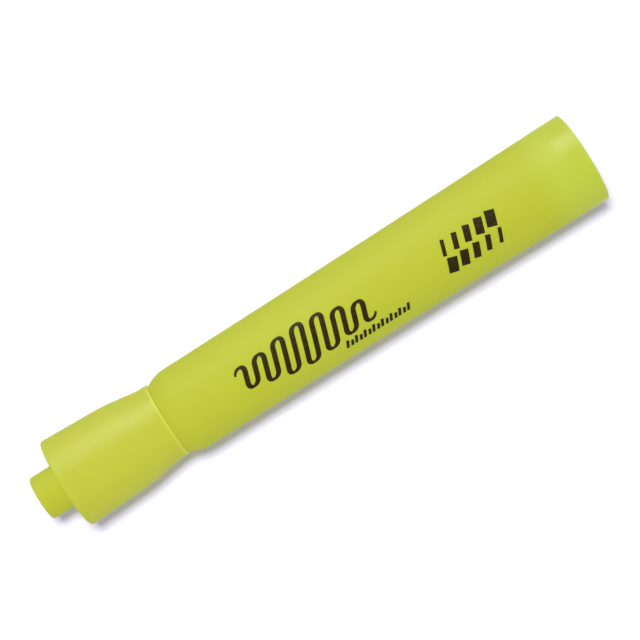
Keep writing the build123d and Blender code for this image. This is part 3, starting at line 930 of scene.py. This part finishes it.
class PEN_OT_rear_plug(bpy.types.Operator):
    """Models the plug that closes the tank, with the socket for the posted cap"""

    bl_idname = "pen.rear_plug"
    bl_label = "Rear plug"

    def execute(self, context):
        size = context.scene.rear_plug_sizes
        floor = PLUG_FACE - size.socket_depth
        cup = floor - size.socket_wall
        middle = PLUG_FACE - size.skirt / 2
        ring = snap_ring(middle, size.radius, size.radius + size.ring_height, SHARP_EDGE)
        plug = turned("moulded_rear_plug", [
            *gate_mark(floor, -size.gate_depth, size.gate_radius, GATE_EDGE),
            (floor, size.socket_radius, SOFT_EDGE),
            (PLUG_FACE, size.socket_radius, EASED_EDGE),
            (PLUG_FACE, size.radius, EASED_EDGE),
            *reversed(ring),
            (PLUG_FACE - size.skirt, size.radius, PLAIN_EDGE),
            (PLUG_FACE - size.skirt, size.radius - size.skirt_wall, PLAIN_EDGE),
            (PLUG_FACE - size.plate, size.radius - size.skirt_wall, SOFT_EDGE),
            (PLUG_FACE - size.plate, size.socket_radius + size.socket_wall, SOFT_EDGE),
            (cup, size.socket_radius + size.socket_wall, SOFT_EDGE),
            (cup, size.pusher_radius, EASED_EDGE),
            (rear_plug_box[0].x, size.pusher_radius, EASED_EDGE),
            (rear_plug_box[0].x, 0.0),
        ])
        colours = context.scene.pen_colours
        # The rear plug takes the paler painted copy of the plastic, with a weaker painted glow
        dress(plug, fluorescent_plastic(
            "Fluorescent polypropylene, rear plug", colours.plug_plastic_painted_lighter, lift=0.3, roughness=0.45, shine=0.3
        ))
        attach(plug, "barrel")
        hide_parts("rear_plug")
        return {"FINISHED"}


class PEN_OT_cap(bpy.types.Operator):
    """Models the cap: its tapered shell, and the end plug with the nub and the sealing sleeve"""

    bl_idname = "pen.cap"
    bl_label = "Cap"

    def execute(self, context):
        size = context.scene.cap_sizes
        colours = context.scene.pen_colours
        seat_end = SHOULDER + size.seat_depth
        snap = RIM - size.snap_from_rim
        ring = snap_ring(snap, size.bore_radius, size.bore_radius - size.snap_height, CRISP_EDGE)
        shell = turned("moulded_cap_shell", [
            (SHOULDER, size.end_radius, size.shoulder_edge),
            (RIM - size.knee_from_rim, size.knee_radius, size.knee_blend),
            (RIM - size.rim_land, size.rim_radius, size.rim_blend),
            (RIM, size.rim_radius, size.rim_edge),
            (RIM, size.bore_radius, size.mouth_edge),
            *reversed(ring),
            (RIM - size.bore_length, size.bore_radius, size.bore_blend),
            (seat_end, size.seat_radius - size.seat_step),
            (seat_end, size.seat_radius),
            (SHOULDER, size.seat_radius, EASED_EDGE),
        ])
        # The cap shell takes the paler painted copy of the plastic, and a painted glow at its rim where light
        # leaves it
        dress(shell, fluorescent_plastic(
            "Fluorescent polypropylene, polished cap", colours.cap_plastic_painted_lighter, PAINTED_GLOW, roughness=0.5, shine=0.17,
            painted_glows=[(RIM - size.glow_start, RIM - size.glow_full, colours.lit_rim)],
        ))
        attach(shell, "cap")
        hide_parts("cap_shell")

        plug_radius = size.seat_radius - PRESS_GAP
        disc_end = SHOULDER + size.disc
        seal_end = cap_plug_box[1].x
        plug = turned("moulded_cap_plug", [
            *gate_mark(NUB_END, size.gate_depth, size.gate_radius, CRISP_EDGE),
            (NUB_END, size.nub_radius, size.nub_edge),
            (SHOULDER, size.nub_radius, size.nub_root),
            (SHOULDER, plug_radius, EASED_EDGE),
            (seat_end, plug_radius, CRISP_EDGE),
            (seat_end, plug_radius - size.skirt_wall, CRISP_EDGE),
            (disc_end, plug_radius - size.skirt_wall, SOFT_EDGE),
            (disc_end, size.seal_radius + size.seal_wall, SOFT_EDGE),
            (seal_end, size.seal_radius + size.seal_wall / 2, PLAIN_EDGE),
            (seal_end, size.seal_radius, PLAIN_EDGE),
            (disc_end, size.seal_radius),
            (SHOULDER, size.nub_bore, SOFT_EDGE),
            (NUB_END + size.nub_wall, size.nub_bore, size.hollow_edge),
            (NUB_END + size.nub_wall, 0.0),
        ])
        dress(plug, fluorescent_plastic(
            "Fluorescent polypropylene, cap plug", colours.plastic, PAINTED_GLOW, roughness=0.55, shine=0.1
        ))
        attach(plug, "cap")
        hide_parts("cap_plug")
        return {"FINISHED"}


class PEN_OT_nib_holder(bpy.types.Operator):
    """Models the nib holder: snout, flange, pressed seat, and the slot with its air grooves"""

    bl_idname = "pen.nib_holder"
    bl_label = "Nib holder"

    def execute(self, context):
        size = context.scene.nib_sizes
        flange = SNOUT_END + size.snout
        flange_end = flange + size.flange
        guide_end = holder_box[1].x
        seat_end = guide_end - size.guide
        holder = turned("moulded_nib_holder", [
            (SNOUT_END, 0.0),
            (SNOUT_END, size.snout_radius - size.nose_drop, SOFT_EDGE),
            (SNOUT_END + size.snout_nose, size.snout_radius, size.nose_blend),
            (flange, size.snout_radius, SOFT_EDGE),
            (flange, size.flange_radius, SOFT_EDGE),
            (flange_end, size.flange_radius, PLAIN_EDGE),
            (flange_end, size.seat_radius),
            (seat_end, size.seat_radius, SOFT_EDGE),
            (seat_end, size.guide_radius, SOFT_EDGE),
            (guide_end, size.guide_radius, EASED_EDGE),
            (guide_end, 0.0),
        ])
        grow = 2 * size.slot_gap
        cut(holder, rounded_bar(
            "slot", SNOUT_END - PAST, guide_end + PAST,
            size.width + grow, size.thickness + grow, size.corner + size.slot_gap,
        ))
        for side in (-1, 1):
            middle = Vector((0, side * size.vent_spacing / 2, AXIS_Z))
            reach = Vector((0, size.vent_width / 2, size.thickness / 2 + size.vent_depth))
            start = Vector((SNOUT_END - PAST, 0, 0))
            end = Vector((guide_end + PAST, 0, 0))
            cut(holder, slab("vent", middle - reach + start, middle + reach + end))
        settle(holder, "moulded_nib_holder")
        dress(holder, natural_plastic(
            "Natural polypropylene, nib holder", context.scene.pen_colours, SNOUT_END, SNOUT_END + size.stain
        ))
        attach(holder, "barrel")
        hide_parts("nib_holder")
        return {"FINISHED"}


class PEN_OT_nib(bpy.types.Operator):
    """Models the felt nib: a fibre slab ground to a slanted chisel edge, with a pointed tail"""

    bl_idname = "pen.nib"
    bl_label = "Nib"

    def execute(self, context):
        size = context.scene.nib_sizes
        front, rear = nib_box[0].x, nib_box[1].x
        nib = rounded_bar("felt_nib", front, rear, size.width, size.thickness, size.corner)
        half = size.thickness / 2
        for side in (-1, 1):
            edge = Vector((front, 0, AXIS_Z + side * size.land / 2))
            trim(nib, edge, Vector((size.land / 2 - half, 0, side * size.wedge)))
            point = Vector((rear, 0, AXIS_Z + side * size.tail_land / 2))
            trim(nib, point, Vector((half - size.tail_land / 2, 0, side * size.tail)))
        slant_run = size.width * math.tan(size.slant)
        trim(nib, Vector((front, size.width / 2, AXIS_Z)), Vector((-size.width, -slant_run, 0)))
        grain = bpy.data.textures.new("felt_grain", "CLOUDS")
        grain.noise_scale = size.tuft
        grain.noise_depth = 3
        apply_modifier(
            nib, "BEVEL", width=size.ground_edge, segments=2, limit_method="ANGLE", angle_limit=GROUND_ANGLE
        )
        apply_modifier(nib, "REMESH", mode="VOXEL", voxel_size=size.mesh_step)
        apply_modifier(
            nib, "DISPLACE", texture=grain, strength=size.nap, mid_level=1.0, texture_coords="LOCAL"
        )
        settle(nib, "felt_nib", math.pi)
        colours = context.scene.pen_colours
        dress(nib, nib_felt("Bonded polyester felt, nib", colours, front, front + size.wear))
        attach(nib, "barrel")
        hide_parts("nib")
        return {"FINISHED"}


class PEN_OT_ink_store(bpy.types.Operator):
    """Models the ink store: fibre core with its channel and pocket, film with a lapped seam, and air tube"""

    bl_idname = "pen.ink_store"
    bl_label = "Ink store"

    def execute(self, context):
        size = context.scene.store_sizes
        nib_size = context.scene.nib_sizes
        colours = context.scene.pen_colours
        core = turned("fibre_core", [
            (CORE_FRONT, 0.0),
            (CORE_FRONT, size.core_radius, size.core_edge),
            (CORE_REAR, size.core_radius, size.core_edge),
            (CORE_REAR, 0.0),
        ])
        tube_middle = Vector((0, 0, AXIS_Z + size.tube_offset))
        channel = turned("channel", [
            (CORE_FRONT - PAST, 0.0),
            (CORE_FRONT - PAST, size.tube_radius + size.tube_gap),
            (CORE_REAR + PAST, size.tube_radius + size.tube_gap),
            (CORE_REAR + PAST, 0.0),
        ], FINE_RING, tube_middle)
        cut(core, channel)
        half = Vector((0, size.tube_radius + size.tube_gap, 0))
        cut(core, slab(
            "opening", tube_middle - half + Vector((CORE_FRONT - PAST, 0, 0)),
            tube_middle + half + Vector((CORE_REAR + PAST, 0, size.core_radius - size.tube_offset + PAST)),
        ))
        grow = 2 * size.pocket_gap
        cut(core, rounded_bar(
            "pocket", CORE_FRONT - PAST, CORE_FRONT + size.pocket,
            nib_size.width + grow, nib_size.thickness + grow, nib_size.corner + size.pocket_gap,
        ))
        settle(core, "fibre_core")
        dress(core, ink_fibre("Polyester tow, ink store", colours))
        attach(core, "barrel")
        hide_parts("ink_core")

        front, rear = film_box[0].x, film_box[1].x
        outside = size.film_radius + size.film
        film, lap = [
            turned(name, [(front, inner), (front, outer), (rear, outer), (rear, inner)])
            for name, inner, outer in (
                ("film", size.film_radius, outside),
                ("lap", outside - size.film / 4, outside + size.film),
            )
        ]
        spread = size.lap / 2 / outside
        for side in (-1, 1):
            trim(lap, Vector((0, 0, AXIS_Z)), Vector((0, side * math.cos(spread), math.sin(spread))))
        film = settle(join([film, lap]), "wrapping_film")
        dress(film, wrap_film("Clear polypropylene film, wrap", colours))
        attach(film, "barrel")
        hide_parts("core_film")

        front, rear = air_tube_box[0].x, air_tube_box[1].x
        tube = turned("air_tube", [
            (front, size.tube_bore, SHARP_EDGE),
            (front, size.tube_radius, SHARP_EDGE),
            (rear, size.tube_radius, SHARP_EDGE),
            (rear, size.tube_bore, SHARP_EDGE),
        ], FINE_RING, tube_middle)
        dress(tube, natural_plastic("Natural polypropylene, air tube", colours, front, front + size.stain))
        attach(tube, "barrel")
        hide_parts("breather_tube")
        return {"FINISHED"}


def heading(places, index):
    """Direction of a line of places at one of them."""
    return (places[min(index + 1, len(places) - 1)] - places[max(index - 1, 0)]).normalized()


def on_barrel(place, flare, lift):
    """Where an (x, arc) place lies above the barrel's skin. The arc runs from the top down the -Y side."""
    radius = radius_on(flare, place.x) + lift
    angle = place.y / radius
    return Vector((place.x, -radius * math.sin(angle), AXIS_Z + radius * math.cos(angle)))


def printed_stroke(places, widths, flare, ink):
    """A stroke of ink along a line of (x, arc) places on the barrel, of the width given at each."""
    start_clean()
    last = len(places) - 1
    bpy.ops.mesh.primitive_grid_add(x_subdivisions=last, y_subdivisions=2, size=1)
    stroke = bpy.context.object
    for vertex in stroke.data.vertices:
        row = round((vertex.co.x + 0.5) * last)
        run = heading(places, row)
        aside = Vector((-run.y, run.x)) * widths[row] * vertex.co.y
        vertex.co = on_barrel(places[row] + aside, flare, ink * (1 - INK_SUNK) / 2)
    apply_modifier(stroke, "SOLIDIFY", thickness=ink * (1 + INK_SUNK), offset=0.0)
    return stroke


def slanted_bar(x, top, bottom, slant):
    """Places along a straight stroke from an upper arc to a lower one, which leans towards +X at its top."""
    places = []
    for index in range(BAR_POINTS + 1):
        arc = top + (bottom - top) * index / BAR_POINTS
        places.append(Vector((x - slant * (arc - (top + bottom) / 2), arc)))
    return places


def wave_line(size):
    """Places along the printed wave: slanted straight strokes joined by half-round turns."""
    pitch = size.wave_length / size.wave_strokes
    places = []
    for stroke in range(size.wave_strokes + 1):
        share = stroke / size.wave_strokes
        middle = size.wave_top + size.wave_fall * share
        side = 1 if stroke % 2 else -1
        reach = size.wave_low + size.wave_swell * math.sin(math.pi * share) ** 2
        turn = []
        for index in range(TURN_POINTS + 1):
            angle = math.pi * (1 - index / TURN_POINTS)
            arc = middle + side * (reach + math.sin(angle) * pitch / 2)
            turn.append(Vector(((stroke + math.cos(angle) / 2) * pitch, arc)))
        if places:
            before = places[-1]
            places += [before.lerp(turn[0], index / STROKE_POINTS) for index in range(1, STROKE_POINTS)]
        places += turn
    start = NUB_END + size.wave_start
    lean = size.wave_top + size.wave_fall / 2
    return [Vector((start + place.x - size.slant * (place.y - lean), place.y)) for place in places]


class PEN_OT_prints(bpy.types.Operator):
    """Models the printed marks: a pen-stroke wave, a row of ticks, and two rows of stroke samples"""

    bl_idname = "pen.prints"
    bl_label = "Prints"

    def execute(self, context):
        size = context.scene.print_sizes
        flare = barrel_flare(context.scene.barrel_sizes)[2]
        places = wave_line(size)
        widths = []
        for row in range(len(places)):
            upright = abs(heading(places, row).y)
            taper = min(1.0, size.tip + size.tip_growth * min(row, len(places) - 1 - row))
            widths.append((size.hairline + (size.stroke - size.hairline) * upright) * taper)
        self.finish("printed_wave", [printed_stroke(places, widths, flare, size.ink)], context)

        ticks = []
        for number in range(size.ticks):
            x = NUB_END + size.ticks_start + size.ticks_length * number / (size.ticks - 1)
            height = size.ticks_height * (1.0 if number % 2 == 0 else size.short_tick)
            foot = size.ticks_arc + size.ticks_height / 2
            bar = slanted_bar(x, foot - height, foot, size.slant)
            ticks.append(printed_stroke(bar, [size.tick_width] * len(bar), flare, size.ink))
        self.finish("printed_ticks", ticks, context)

        samples = []
        for row in range(2):
            top = size.samples_arc + row * (size.samples_height + size.samples_gap)
            for number in range(size.samples):
                share = number / (size.samples - 1)
                x = NUB_END + size.samples_start + size.samples_length * share
                width = size.thinnest + (size.broadest - size.thinnest) * (share if row == 0 else 1 - share)
                bar = slanted_bar(x, top, top + size.samples_height, size.slant)
                samples.append(printed_stroke(bar, [width] * len(bar), flare, size.ink))
        self.finish("printed_samples", samples, context)
        return {"FINISHED"}

    def finish(self, name, strokes, context):
        """Joins a print's strokes and gives them their ink."""
        prints = settle(join(strokes), name)
        dress(prints, print_ink("Pad-printing ink, " + name, context.scene.pen_colours))
        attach(prints, "barrel")


class PEN_OT_stage(bpy.types.Operator):
    """Sets up the pale floor, the soft studio light and the camera straight above the pen"""

    bl_idname = "pen.stage"
    bl_label = "Stage"

    def execute(self, context):
        stage = context.scene.stage_settings
        start_clean()
        bpy.ops.mesh.primitive_plane_add(size=stage.floor_size, location=(0, 0, cad_box[0].z))
        floor = bpy.context.object
        floor.name = "floor"
        bpy.ops.object.transform_apply(location=True, rotation=True, scale=True)
        paper, tree, shader = new_material("Pale floor", context.scene.pen_colours.floor)
        pale = linear(context.scene.pen_colours.floor)
        fill(tree, shader, {"Base Color": pale, "Roughness": 0.9, "Specular IOR Level": 0.0})
        dress(floor, paper)
        floor.visible_glossy = False

        world = bpy.data.worlds.new("Soft tent")
        context.scene.world = world
        world.use_nodes = True
        sky = world.node_tree.nodes["Background"]
        sky.inputs["Color"].default_value = (1, 1, 1, 1)
        sky.inputs["Strength"].default_value = stage.sky

        pen = Vector((0, 0, AXIS_Z))
        key = add_lamp("key", pen, stage.key_place, stage.key_side, stage.key_side, stage.key_watts)
        key.visible_glossy = False
        side_box = add_lamp(
            "side_box", pen, stage.side_place, stage.side_width, stage.side_height, stage.side_watts
        )
        side_box.visible_diffuse = False

        bpy.ops.object.camera_add(
            location=(stage.aside_x, stage.aside_y, AXIS_Z + stage.height), rotation=(0, 0, stage.roll)
        )
        camera = bpy.context.object
        camera.name = "camera"
        camera.data.lens = stage.lens
        camera.data.sensor_width = stage.sensor
        camera.data.clip_start = stage.nearest
        context.scene.camera = camera
        context.scene.view_settings.view_transform = "Standard"
        return {"FINISHED"}


def add_lamp(name, aim, place, width, height, watts):
    """A rectangular soft box at a place, turned to face a point."""
    bpy.ops.object.light_add(type="AREA", location=place)
    lamp = bpy.context.object
    lamp.name = name
    lamp.rotation_euler = (aim - Vector(place)).to_track_quat("-Z", "Y").to_euler()
    lamp.data.shape = "RECTANGLE"
    lamp.data.size = width
    lamp.data.size_y = height
    lamp.data.energy = watts
    return lamp


OPERATORS = [
    PEN_OT_barrel,
    PEN_OT_rear_plug,
    PEN_OT_nib_holder,
    PEN_OT_nib,
    PEN_OT_ink_store,
    PEN_OT_cap,
    PEN_OT_prints,
    PEN_OT_stage,
]


class PEN_PT_pieces(bpy.types.Panel):
    """Lists the pen's pieces and its stage"""

    bl_idname = "PEN_PT_pieces"
    bl_label = "Highlighter"
    bl_space_type = "VIEW_3D"
    bl_region_type = "UI"
    bl_category = SIDEBAR

    def draw(self, context):
        for operator in OPERATORS:
            self.layout.operator(operator.bl_idname)
        for group in SETTINGS:
            settings = getattr(context.scene, group)
            box = self.layout.box()
            for name in settings.bl_rna.properties.keys():
                if name not in ("rna_type", "name"):
                    box.prop(settings, name)


def register():
    for group, settings in SETTINGS.items():
        bpy.utils.register_class(settings)
        setattr(bpy.types.Scene, group, bpy.props.PointerProperty(type=settings))
    for operator in OPERATORS:
        bpy.utils.register_class(operator)
    bpy.utils.register_class(PEN_PT_pieces)


def unregister():
    bpy.utils.unregister_class(PEN_PT_pieces)
    for operator in reversed(OPERATORS):
        bpy.utils.unregister_class(operator)
    for group, settings in reversed(SETTINGS.items()):
        delattr(bpy.types.Scene, group)
        bpy.utils.unregister_class(settings)


def main():
    register()
    bpy.ops.pen.barrel()
    bpy.ops.pen.rear_plug()
    bpy.ops.pen.nib_holder()
    bpy.ops.pen.nib()
    bpy.ops.pen.ink_store()
    bpy.ops.pen.cap()
    bpy.ops.pen.prints()
    bpy.ops.pen.stage()


if __name__ == "__main__":
    main()
